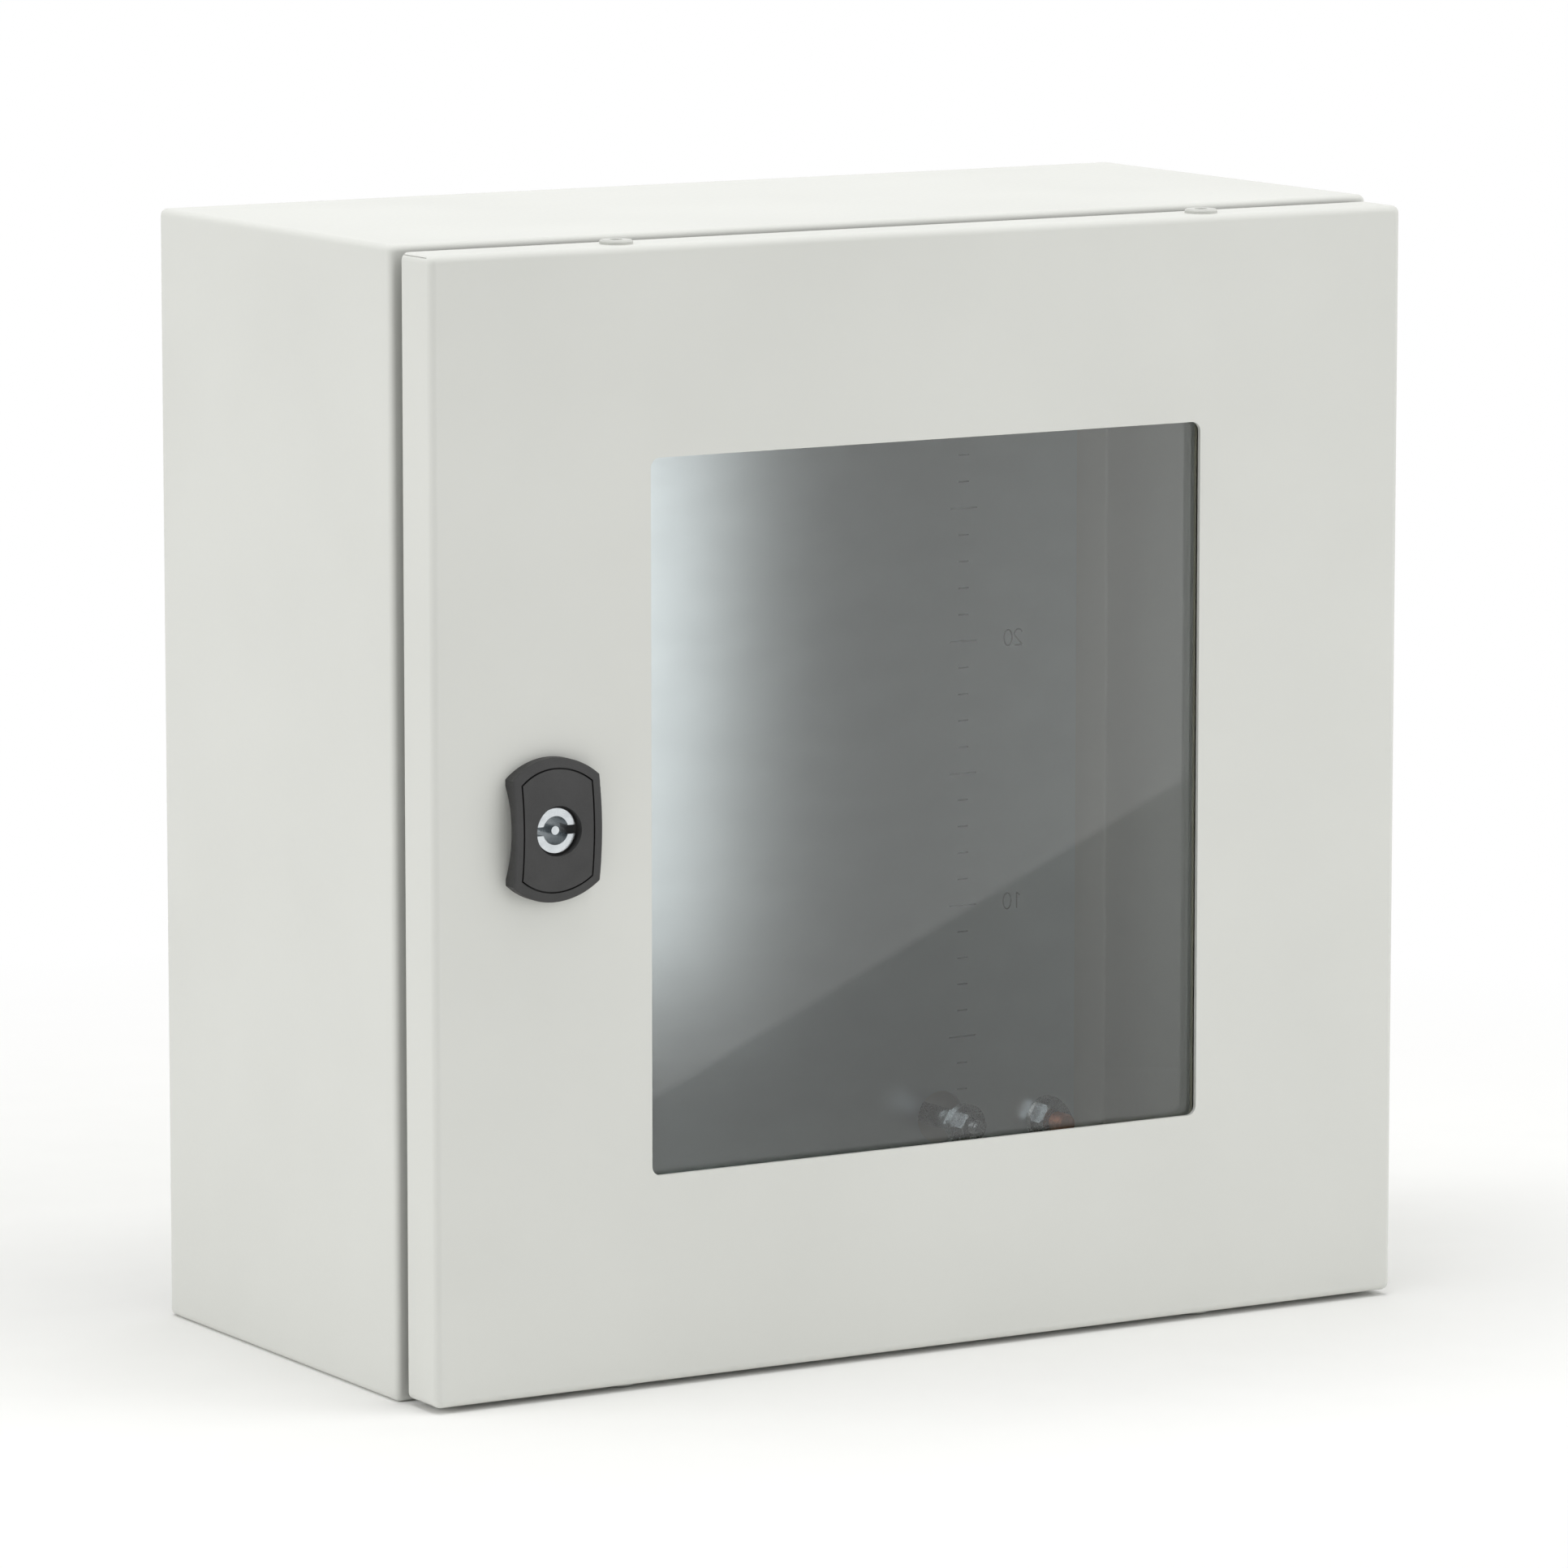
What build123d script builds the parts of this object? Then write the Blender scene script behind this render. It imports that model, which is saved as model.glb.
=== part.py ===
from build123d import *
import os
from math import atan2, cos, degrees, radians, sqrt

os.makedirs("parts", exist_ok=True)

# Wall-mounted sheet-steel cabinet with a glazed door, in millimetres.
# X runs to the right, Y towards the wall and Z up. The origin is the middle of the back face.
# A depth is the distance from the wall towards the room, so depth d lies at y = -d.

# Body, folded from one gauge of sheet
cabinet_width = 400.0
cabinet_height = 400.0
body_depth = 172.0
body_sheet = 1.2
body_bend_radius = 2.2
body_corner_extra = 0.3
rim_width = 22.9
lip_height = 16.0
lip_corner_radius = 8.0
lip_bend_inside = 1.0
wall_hole_radius = 4.25
wall_hole_inset = 15.0

# Fits shared by the fasteners: thread in nut, stud in hole and stud in a loose hole
thread_fit = 0.02
stud_clearance = 0.2
hole_clearance = 0.5

# How far a cut runs past the face it opens, and how near two edges count as level
overcut = 1.0
level_reach = 0.01

# Gland plate over the cable opening in the bottom wall
gland_side_inset = 50.0
gland_back_inset = 40.0
gland_front_inset = 32.0
gland_opening_radius = 8.0
gland_overlap = 16.0
gland_sheet = 1.5
gland_gasket_thickness = 2.5
gland_gasket_margin = 3.0
gland_stud_inset = 7.0
gland_stud_radius = 2.5
gland_stud_length = 11.0
gland_nut_flats = 8.0
gland_nut_height = 4.0

# Mounting plate on four studs welded to the back wall
plate_pass = 0.9
plate_sheet = 2.0
plate_standoff = 13.8
plate_corner_radius = 3.0
plate_stud_side_inset = 12.5
plate_stud_end_inset = 15.0
plate_stud_radius = 4.0
plate_stud_collar_radius = 6.5
plate_stud_reach = 15.0
plate_stud_chamfer = 0.8
plate_nut_flats = 13.0
plate_nut_height = 8.0
plate_nut_flange_radius = 8.9
plate_nut_flange_thickness = 1.6
plate_nut_flange_chamfer = 0.8

# Earth stud, seen through a round hole in the mounting plate
earth_side_inset = 59.5
earth_bottom_inset = 20.0
earth_hole_radius = 10.0
earth_stud_radius = 3.0
earth_collar_radius = 4.0
earth_collar_length = 26.8
earth_tip_length = 3.1
earth_stud_chamfer = 0.75
earth_washer_radius = 7.8
earth_washer_thickness = 1.1
earth_nut_flats = 10.0
earth_nut_height = 5.0

# Door, a folded tray that stands in front of the rim
door_sheet = 1.5
door_gap = 5.0
door_depth = 20.0
door_margin = 2.0
door_bend_radius = 2.5
door_corner_extra = 0.2
door_seam_width = 0.3
window_side_margin = 85.5
window_end_margin = 73.0
window_corner_radius = 3.5

# Glazing, clamped by a folded frame on weld studs
glass_thickness = 4.0
glass_overlap = 7.5
glass_corner_radius = 6.0
glazing_seal_thickness = 1.5
glazing_seal_setback = 1.0
glazing_frame_sheet = 1.5
glazing_frame_gap = 0.5
glazing_bend_radius = 1.35
glazing_clamp_width = 5.5
glazing_foot_width = 9.5
glazing_side_stud_inset = 30.0
glazing_end_stud_inset = 42.5
glazing_stud_radius = 2.0
glazing_stud_length = 8.0
glazing_nut_flats = 7.0
glazing_nut_height = 3.2

# Foamed door gasket, centred on the edge of the rain lip
gasket_width = 8.0
gasket_round = 2.5
gasket_gap = 0.3

# Door earth stud
door_earth_side_inset = 98.0
door_earth_bottom_inset = 40.0
door_earth_radius = 3.0
door_earth_length = 15.0
door_earth_washer_radius = 6.0
door_earth_washer_thickness = 1.6
door_earth_nut_flats = 10.0
door_earth_nut_height = 5.0

# Round plugs in the top and bottom flanges of the door
plug_inset = 78.5
plug_head_lip = 1.05
plug_head_height = 1.5
plug_head_chamfer = 0.6
plug_recess_radius = 2.3
plug_recess_depth = 0.8
plug_hole_radius = 4.75
plug_fit = 0.15
plug_barb_catch = 0.35
plug_barb_height = 2.5
plug_tip_taper = 0.92

# Concealed hinges on the right
hinge_inset = 58.0
hinge_leaf_length = 44.0
hinge_centre_eye_length = 20.0
hinge_leaf_sheet = 1.5
hinge_bend_radius = 1.35
hinge_pin_radius = 2.0
hinge_running_fit = 0.05
hinge_axial_gap = 0.3
hinge_flange_gap = 0.4
hinge_pin_setback = 7.0
hinge_leaf_gasket_gap = 0.6
hinge_body_foot = 5.9
hinge_door_foot = 8.0
hinge_pin_head_radius = 3.2
hinge_pin_head_height = 1.4
hinge_pin_head_chamfer = 0.45
hinge_pin_chamfer = 0.5
hinge_stud_pitch = 16.0
hinge_stud_radius = 2.0
hinge_stud_length = 5.6
hinge_nut_flats = 7.0
hinge_nut_height = 3.2

# Lock: escutcheon with barrel, clamped through the door
lock_edge_inset = 45.0
lock_z = 0.0
escutcheon_radius = 25.0
escutcheon_half_width = 17.0
escutcheon_waist = 2.4
escutcheon_scallop_length = 34.0
escutcheon_scallop_height = 5.0
escutcheon_height = 7.4
escutcheon_arch_drop = 1.8
escutcheon_edge_round = 0.7
panel_radius = 21.1
panel_half_width = 13.4
panel_groove = 0.6
panel_floor = 3.4
panel_hole_radius = 8.75
barrel_radius = 11.0
barrel_half_flats = 9.8
barrel_length = 19.0
barrel_clearance = 0.25
lock_seal_offset = 0.6
lock_seal_width = 2.0
lock_seal_thickness = 1.0
lock_seal_fit = 0.2
lock_nut_flats = 27.0
lock_nut_height = 5.0
lock_nut_fit = 0.1

# Double-bit insert and the cam that goes behind the rim
insert_radius = 7.75
insert_running_fit = 0.05
insert_recess = 2.7
insert_bore_radius = 5.0
insert_bore_depth = 11.7
insert_pin_radius = 1.5
insert_pin_recess = 0.3
insert_slot_width = 3.1
insert_slot_depth = 6.0
insert_collar_radius = 9.5
insert_collar_thickness = 1.7
insert_collar_gap = 0.3
insert_neck_radius = 6.5
insert_square = 8.0
cam_rim_gap = 1.8
cam_thickness = 3.0
cam_reach = 29.0
cam_hub_radius = 10.0
cam_tip_radius = 7.5
cam_square_fit = 0.1
cam_square_short = 0.2
cam_washer_radius = 8.0
cam_washer_thickness = 1.5
cam_screw_radius = 2.5
cam_screw_length = 12.0
cam_screw_tip_gap = 1.0
cam_screw_fit = 0.1
cam_screw_flats = 8.0
cam_screw_head = 3.5

# Positions worked out from the sizes above
half_width = cabinet_width / 2
half_height = cabinet_height / 2
body_corner_radius = body_bend_radius + body_corner_extra
gland_opening_length = cabinet_width - 2 * gland_side_inset
gland_opening_width = body_depth - gland_back_inset - gland_front_inset
gland_centre_depth = gland_back_inset + gland_opening_width / 2
rim_inside = body_depth - body_sheet
lip_end = body_depth + lip_height
lip_outer_width = cabinet_width - 2 * rim_width
lip_outer_height = cabinet_height - 2 * rim_width
mouth_width = lip_outer_width - 2 * body_sheet
mouth_height = lip_outer_height - 2 * body_sheet
plate_width = mouth_width - 2 * plate_pass
plate_height = mouth_height - 2 * plate_pass
plate_back = body_sheet + plate_standoff
plate_front = plate_back + plate_sheet
earth_x = plate_width / 2 - earth_side_inset
earth_z = earth_bottom_inset - plate_height / 2
door_width = cabinet_width - 2 * door_margin
door_height = cabinet_height - 2 * door_margin
door_rear = body_depth + door_gap
door_front = door_rear + door_depth
door_inside = door_front - door_sheet
door_corner_radius = door_bend_radius + door_corner_extra
door_earth_x = door_width / 2 - door_earth_side_inset
door_earth_z = door_earth_bottom_inset - door_height / 2
window_width = door_width - 2 * window_side_margin
window_height = door_height - 2 * window_end_margin
plug_offset = door_width / 2 - plug_inset
plug_head_radius = plug_hole_radius + plug_head_lip
plug_shank_radius = plug_hole_radius - plug_fit
plug_barb_radius = plug_hole_radius + plug_barb_catch
plug_tip_radius = plug_shank_radius - plug_tip_taper
hinge_offset = door_height / 2 - hinge_inset
lock_x = lock_edge_inset - door_width / 2
lock_seal_inner_radius = barrel_radius + lock_seal_offset
lock_crown = door_front + escutcheon_height
glass_width = window_width + 2 * glass_overlap
glass_height = window_height + 2 * glass_overlap
glass_front = door_inside - glazing_seal_thickness
glass_back = glass_front - glass_thickness
gasket_back = lip_end + gasket_gap
eye_radius = hinge_pin_radius + hinge_running_fit + hinge_leaf_sheet
pin_x = door_width / 2 - door_sheet - hinge_flange_gap - eye_radius
pin_depth = door_rear + hinge_pin_setback
barrel_end = door_front - barrel_length
insert_front = lock_crown - insert_recess
cam_front = rim_inside - cam_rim_gap
cam_back = cam_front - cam_thickness


# A plane parallel to the wall, with X to the right and Z up
def facing(depth):
    return Plane.XZ.offset(depth)


# An outline drawn in X and Z, carried from one depth to another
def prism(outline, start, end):
    return extrude(facing(start) * outline, end - start)


# A round bar that stands out from the wall
def bar(radius, start, end, x=0.0, z=0.0):
    return prism(Pos(x, z) * Circle(radius), start, end)


# A hexagon by its size across flats
def hexagon(across_flats):
    return RegularPolygon(across_flats / 2, 6, major_radius=False)


# A hexagon nut whose corners are chamfered by a cone on the outer side, around a round hole
def nut(across_flats, height, hole_radius):
    blank = extrude(hexagon(across_flats), height)
    corner_radius = across_flats / sqrt(3)
    crown = Cylinder(corner_radius, height, align=(Align.CENTER, Align.CENTER, Align.MIN))
    crown = chamfer(crown.faces().sort_by(Axis.Z)[-1].edges(), corner_radius - across_flats / 2)
    return (blank & crown) - Cylinder(hole_radius, 3 * height)


# The place of a piece whose own Z runs from a depth towards the room or, turned, towards the wall
def outward(x, z, depth):
    return Location(Plane((x, -depth, z), x_dir=(1, 0, 0), z_dir=(0, -1, 0)))


def inward(x, z, depth):
    return Location(Plane((x, -depth, z), x_dir=(1, 0, 0), z_dir=(0, 1, 0)))


# All four corners of a rectangle, as pairs of signs
def corners():
    return [(sx, sz) for sx in (-1, 1) for sz in (-1, 1)]


# A closed block with rounded long edges and bent edges round the faces at its two depths
def folded_block(width, height, start, end, edge_radius, front_radius, back_radius):
    block = prism(RectangleRounded(width, height, edge_radius), start, end)
    if front_radius > 0:
        block = fillet(block.faces().sort_by(Axis.Y)[0].edges(), front_radius)
    if back_radius > 0:
        block = fillet(block.faces().sort_by(Axis.Y)[-1].edges(), back_radius)
    return block


# The edges at one depth that lie on or within a rectangle round the cabinet's middle
def edges_at(shape, depth, width, height):
    x_reach = width / 2 + level_reach
    z_reach = height / 2 + level_reach
    level = shape.edges().filter_by_position(Axis.Y, -depth - level_reach, -depth + level_reach)
    return [e for e in level if abs(e.center().X) <= x_reach and abs(e.center().Z) <= z_reach]


def gland_outline(extra):
    return Rectangle(gland_opening_length + 2 * extra, gland_opening_width + 2 * extra)


# Tub with the front rim turned in and the rain lip turned forward, each bend of one sheet thickness
def body_shell():
    inner_edge = body_corner_radius - body_sheet
    inner_bend = body_bend_radius - body_sheet
    outside = folded_block(
        cabinet_width, cabinet_height, 0, body_depth, body_corner_radius, body_bend_radius, body_bend_radius
    )
    inside = folded_block(
        cabinet_width - 2 * body_sheet,
        cabinet_height - 2 * body_sheet,
        body_sheet,
        rim_inside,
        inner_edge,
        inner_bend,
        inner_bend,
    )
    mouth = RectangleRounded(mouth_width, mouth_height, lip_corner_radius - body_sheet)
    lip_outline = RectangleRounded(lip_outer_width, lip_outer_height, lip_corner_radius)
    shell = outside - inside
    shell += prism(lip_outline, rim_inside, lip_end)
    shell -= prism(mouth, rim_inside - body_sheet, lip_end + body_sheet)
    shell = fillet(edges_at(shell, body_depth, lip_outer_width, lip_outer_height), lip_bend_inside)
    shell = fillet(edges_at(shell, rim_inside, mouth_width, mouth_height), lip_bend_inside + body_sheet)
    for sx, sz in corners():
        hole_x = sx * (half_width - wall_hole_inset)
        hole_z = sz * (half_height - wall_hole_inset)
        shell -= bar(wall_hole_radius, -body_sheet, 2 * body_sheet, hole_x, hole_z)
    opening = RectangleRounded(gland_opening_length, gland_opening_width, gland_opening_radius)
    bottom = Plane.XY.offset(-half_height - body_sheet) * Pos(0, -gland_centre_depth)
    return shell - extrude(bottom * opening, 3 * body_sheet)


# Places of the gland plate's studs: the corners and the middle of each long side
def gland_stud_places():
    side = gland_opening_length / 2 + gland_overlap - gland_stud_inset
    cross = gland_opening_width / 2 + gland_overlap - gland_stud_inset
    return [(sx * side, sy * cross - gland_centre_depth) for sx in (-1, 0, 1) for sy in (-1, 1)]


# Heights of the stack on the bottom wall
gland_seat = -half_height + body_sheet
gland_plate_bottom = gland_seat + gland_gasket_thickness
gland_plate_top = gland_plate_bottom + gland_sheet


def gland_stud_holes(height):
    drill_radius = gland_stud_radius + hole_clearance
    return [Pos(x, y, gland_seat) * Cylinder(drill_radius, 4 * height) for x, y in gland_stud_places()]


def gland_plate():
    place = Plane.XY.offset(gland_plate_bottom) * Pos(0, -gland_centre_depth)
    plate = extrude(place * gland_outline(gland_overlap), gland_sheet)
    plate = fillet(plate.edges().filter_by(Axis.Z), gland_opening_radius)
    return plate - gland_stud_holes(gland_plate_top - gland_seat)


def gland_plate_gasket():
    ring = gland_outline(gland_overlap) - gland_outline(gland_gasket_margin)
    place = Plane.XY.offset(gland_seat) * Pos(0, -gland_centre_depth)
    pad = extrude(place * ring, gland_gasket_thickness)
    return pad - gland_stud_holes(gland_plate_top - gland_seat)


def gland_plate_studs():
    stud = Cylinder(gland_stud_radius, gland_stud_length, align=(Align.CENTER, Align.CENTER, Align.MIN))
    return Compound(children=[Pos(x, y, gland_seat) * stud for x, y in gland_stud_places()])


def gland_plate_nuts():
    one = nut(gland_nut_flats, gland_nut_height, gland_stud_radius + thread_fit)
    return Compound(children=[Pos(x, y, gland_plate_top) * one for x, y in gland_stud_places()])


def plate_stud_places():
    x = plate_width / 2 - plate_stud_side_inset
    z = plate_height / 2 - plate_stud_end_inset
    return [(sx * x, sz * z) for sx, sz in corners()]


# Flat plate with its four fixing holes and the round hole over the earth stud
def mounting_plate():
    plate = prism(RectangleRounded(plate_width, plate_height, plate_corner_radius), plate_back, plate_front)
    cut_from = plate_back - overcut
    cut_to = plate_front + overcut
    for x, z in plate_stud_places():
        plate -= bar(plate_stud_radius + hole_clearance, cut_from, cut_to, x, z)
    return plate - bar(earth_hole_radius, cut_from, cut_to, earth_x, earth_z)


# Stud with a collar that seats the plate and a chamfered end
def plate_studs():
    studs = []
    for x, z in plate_stud_places():
        thread = bar(plate_stud_radius, body_sheet, plate_front + plate_stud_reach, x, z)
        thread = chamfer(thread.faces().sort_by(Axis.Y)[0].edges(), plate_stud_chamfer)
        studs.append(thread + bar(plate_stud_collar_radius, body_sheet, plate_back, x, z))
    return Compound(children=studs)


def plate_nuts():
    hole_radius = plate_stud_radius + thread_fit
    hexagonal = nut(plate_nut_flats, plate_nut_height, hole_radius)
    flange = Cylinder(
        plate_nut_flange_radius, plate_nut_flange_thickness, align=(Align.CENTER, Align.CENTER, Align.MIN)
    )
    flange = chamfer(flange.faces().sort_by(Axis.Z)[-1].edges(), plate_nut_flange_chamfer)
    one = hexagonal + (flange - Cylinder(hole_radius, 3 * plate_nut_height))
    return Compound(children=[outward(x, z, plate_front) * one for x, z in plate_stud_places()])


# The earth stack from its collar outwards: three washers between two nuts
earth_seat = body_sheet + earth_collar_length
earth_stack = ["nut", "washer", "washer", "washer", "nut"]


def earth_places(kind):
    depth = earth_seat
    places = []
    for item in earth_stack:
        if item == kind:
            places.append(depth)
        depth += earth_nut_height if item == "nut" else earth_washer_thickness
    return places, depth


def earth_stud():
    stack_end = earth_places("nut")[1]
    thread = bar(earth_stud_radius, body_sheet, stack_end + earth_tip_length, earth_x, earth_z)
    thread = chamfer(thread.faces().sort_by(Axis.Y)[0].edges(), earth_stud_chamfer)
    return thread + bar(earth_collar_radius, body_sheet, earth_seat, earth_x, earth_z)


def earth_washers():
    ring = Circle(earth_washer_radius) - Circle(earth_stud_radius + hole_clearance)
    washer = Pos(earth_x, earth_z) * ring
    starts = earth_places("washer")[0]
    return Compound(children=[prism(washer, depth, depth + earth_washer_thickness) for depth in starts])


def earth_nuts():
    one = nut(earth_nut_flats, earth_nut_height, earth_stud_radius + thread_fit)
    starts = earth_places("nut")[0]
    return Compound(children=[outward(earth_x, earth_z, depth) * one for depth in starts])


# The narrow seam between two flanges, from their rear edge to the start of the front bend
def seam_tool(sx, sz):
    length = door_depth - door_bend_radius - door_sheet
    diagonal = 4 * door_corner_radius
    blade = Box(diagonal, length, door_seam_width)
    place = Pos(sx * door_width / 2, -door_rear - length / 2, sz * door_height / 2)
    return place * Rot(0, -45 * sx * sz, 0) * blade


def lock_hole(clearance):
    flats = Rectangle(2 * (barrel_half_flats + clearance), 4 * barrel_radius)
    return Pos(lock_x, lock_z) * (Circle(barrel_radius + clearance) & flats)


def door_panel():
    inner_corner = door_corner_radius - door_sheet
    inner_bend = door_bend_radius - door_sheet
    outside = folded_block(
        door_width, door_height, door_rear, door_front, door_corner_radius, door_bend_radius, 0
    )
    inside = folded_block(
        door_width - 2 * door_sheet,
        door_height - 2 * door_sheet,
        door_rear - door_sheet,
        door_inside,
        inner_corner,
        inner_bend,
        0,
    )
    tray = outside - inside
    for sx, sz in corners():
        tray -= seam_tool(sx, sz)
    window = RectangleRounded(window_width, window_height, window_corner_radius)
    cut_from = door_inside - overcut
    cut_to = door_front + overcut
    tray -= prism(window, cut_from, cut_to)
    tray -= prism(lock_hole(barrel_clearance), cut_from, cut_to)
    for sx, sz in corners():
        flange = sz * door_height / 2
        tray -= Pos(sx * plug_offset, -plug_depth(), flange) * Cylinder(plug_hole_radius, 4 * door_sheet)
    return tray


# Plugs sit in the middle of the flat part of the flange
def plug_depth():
    return door_rear + (door_depth - door_bend_radius) / 2


# Turned plug: dished head, shank through the sheet and a tapered barb behind it
def door_plugs():
    barb_start = -door_sheet
    tip = barb_start - plug_barb_height
    profile = Polyline(
        (0, tip),
        (plug_tip_radius, tip),
        (plug_barb_radius, barb_start),
        (plug_shank_radius, barb_start),
        (plug_shank_radius, 0),
        (plug_head_radius, 0),
        (plug_head_radius, plug_head_height - plug_head_chamfer),
        (plug_head_radius - plug_head_chamfer, plug_head_height),
        (plug_recess_radius, plug_head_height),
        (plug_recess_radius, plug_head_height - plug_recess_depth),
        (0, plug_head_height - plug_recess_depth),
        close=True,
    )
    plug = revolve(Plane.XZ * make_face(profile), Axis.Z)
    places = []
    for sx, sz in corners():
        seat = Pos(sx * plug_offset, -plug_depth(), sz * door_height / 2)
        places.append(seat * Rot(0 if sz > 0 else 180, 0, 0) * plug)
    return Compound(children=places)


def window_pane():
    return prism(RectangleRounded(glass_width, glass_height, glass_corner_radius), glass_back, glass_front)


def glazing_seal():
    outer = RectangleRounded(glass_width, glass_height, glass_corner_radius)
    reach = 2 * glazing_seal_setback
    inner = RectangleRounded(window_width + reach, window_height + reach, window_corner_radius)
    return prism(outer - inner, glass_front, door_inside)


# A rectangle round the window, larger than the glass by an amount on every side
def round_glass(amount, radius):
    return RectangleRounded(glass_width + 2 * amount, glass_height + 2 * amount, radius)


# Folded frame: foot on the door, web beside the glass and a leg that clamps it
def glazing_frame():
    web_in = glazing_frame_gap
    web_out = web_in + glazing_frame_sheet
    foot_out = web_out + glazing_foot_width
    leg_back = glass_back - glazing_frame_sheet
    inner_line = round_glass(web_in, glass_corner_radius)
    outer_line = round_glass(web_out, glass_corner_radius + glazing_frame_sheet)
    foot_line = round_glass(foot_out, glass_corner_radius + glazing_frame_sheet)
    leg_line = round_glass(-glazing_clamp_width, window_corner_radius)
    foot = prism(foot_line - inner_line, door_inside - glazing_frame_sheet, door_inside)
    web = prism(outer_line - inner_line, leg_back, door_inside)
    leg = prism(outer_line - leg_line, leg_back, glass_back)
    frame = foot + web + leg
    rim_edges = edges_at(frame, leg_back, 2 * glass_width, 2 * glass_height)
    outer_reach = glass_width / 2 + web_in
    outer_rise = glass_height / 2 + web_in
    bend = [e for e in rim_edges if abs(e.center().X) > outer_reach or abs(e.center().Z) > outer_rise]
    frame = fillet(bend, glazing_bend_radius)
    for x, z in glazing_stud_places():
        frame -= bar(glazing_stud_radius + stud_clearance, glass_back, door_front, x, z)
    return frame


def glazing_stud_places():
    offset = glazing_frame_gap + glazing_frame_sheet + glazing_foot_width / 2
    x = glass_width / 2 + offset
    z = glass_height / 2 + offset
    side_reach = window_height / 2 - glazing_side_stud_inset
    end_reach = window_width / 2 - glazing_end_stud_inset
    sides = [(sx * x, step * side_reach) for sx in (-1, 1) for step in (-1, 0, 1)]
    ends = [(step * end_reach, sz * z) for sz in (-1, 1) for step in (-1, 1)]
    return sides + ends


def glazing_studs():
    end = door_inside - glazing_stud_length
    places = glazing_stud_places()
    return Compound(children=[bar(glazing_stud_radius, end, door_inside, x, z) for x, z in places])


def glazing_nuts():
    one = nut(glazing_nut_flats, glazing_nut_height, glazing_stud_radius + thread_fit)
    seat = door_inside - glazing_frame_sheet
    return Compound(children=[inward(x, z, seat) * one for x, z in glazing_stud_places()])


# Foamed strip all round the door, with a rounded back that the rain lip meets
def door_gasket():
    middle_width = lip_outer_width - body_sheet
    middle_height = lip_outer_height - body_sheet
    middle_radius = lip_corner_radius - body_sheet / 2
    half = gasket_width / 2
    outer, inner = [
        RectangleRounded(middle_width + 2 * step, middle_height + 2 * step, middle_radius + step)
        for step in (half, -half)
    ]
    strip = prism(outer - inner, gasket_back, door_inside)
    return fillet(edges_at(strip, gasket_back, cabinet_width, cabinet_height), gasket_round)


def door_earth_stud():
    return bar(door_earth_radius, door_inside - door_earth_length, door_inside, door_earth_x, door_earth_z)


def door_earth_washer():
    ring = Circle(door_earth_washer_radius) - Circle(door_earth_radius + stud_clearance)
    seat = door_inside - door_earth_washer_thickness
    return prism(Pos(door_earth_x, door_earth_z) * ring, seat, door_inside)


def door_earth_nut():
    one = nut(door_earth_nut_flats, door_earth_nut_height, door_earth_radius + thread_fit)
    return inward(door_earth_x, door_earth_z, door_inside - door_earth_washer_thickness) * one


# A strip of hinge profile, drawn in X and depth and carried upwards from a height
def hinge_strip(profile, bottom, length):
    return extrude(Plane.XY.offset(bottom) * mirror(profile, Plane.XZ), length)


# A rectangle between two X values and two depths
def patch(x_from, x_to, depth_from, depth_to):
    blank = Rectangle(x_to - x_from, depth_to - depth_from, align=(Align.MIN, Align.MIN))
    return Pos(x_from, depth_from) * blank


# Fixed leaf: foot welded on the rim, wall, and an arm that ends in the rolled centre eye
def hinge_body_leaf(height):
    wall_x = lip_outer_width / 2 - body_sheet / 2 + gasket_width / 2 + hinge_leaf_gasket_gap
    wall_inner = wall_x + hinge_leaf_sheet
    arm_front = pin_depth + eye_radius
    arm_back = arm_front - hinge_leaf_sheet
    foot = patch(wall_x, wall_x + hinge_body_foot, body_depth, body_depth + hinge_leaf_sheet)
    wall = patch(wall_x, wall_inner, body_depth, arm_front)
    arm = patch(wall_x, pin_x, arm_back, arm_front)
    eye = Pos(pin_x, pin_depth) * Circle(eye_radius)
    pin_hole = Pos(pin_x, pin_depth) * Circle(hinge_pin_radius + hinge_running_fit)
    leaf = hinge_strip(foot + wall, height - hinge_leaf_length / 2, hinge_leaf_length)
    eye_bottom = height - hinge_centre_eye_length / 2
    leaf += hinge_strip(arm + eye - pin_hole, eye_bottom, hinge_centre_eye_length)
    upright = leaf.edges().filter_by(Axis.Z)
    turn = upright.filter_by_position(Axis.X, wall_x - level_reach, wall_x + level_reach)
    return fillet(turn.sort_by(Axis.Y)[:1], hinge_bend_radius)


# Moving leaf: foot on the door, with a wall and a rolled eye above and below the centre eye
def hinge_door_leaf(height):
    wall_x = pin_x - eye_radius
    wall_out = wall_x + hinge_leaf_sheet
    foot = patch(wall_out - hinge_door_foot, wall_out, door_inside - hinge_leaf_sheet, door_inside)
    wall = patch(wall_x, wall_out, pin_depth, door_inside)
    eye = Pos(pin_x, pin_depth) * Circle(eye_radius)
    pin_hole = Pos(pin_x, pin_depth) * Circle(hinge_pin_radius + thread_fit)
    leaf = hinge_strip(foot, height - hinge_leaf_length / 2, hinge_leaf_length)
    eye_start = hinge_centre_eye_length / 2 + hinge_axial_gap
    eye_length = hinge_leaf_length / 2 - eye_start
    for bottom in (height - hinge_leaf_length / 2, height + eye_start):
        leaf += hinge_strip(wall + eye - pin_hole, bottom, eye_length)
    for x, z in hinge_stud_places(height):
        leaf -= bar(hinge_stud_radius + stud_clearance, door_rear, door_front, x, z)
    return leaf


def hinge_stud_places(height):
    x = pin_x - eye_radius + hinge_leaf_sheet - hinge_door_foot / 2 - hinge_leaf_sheet / 2
    return [(x, height - hinge_stud_pitch / 2), (x, height + hinge_stud_pitch / 2)]


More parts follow.
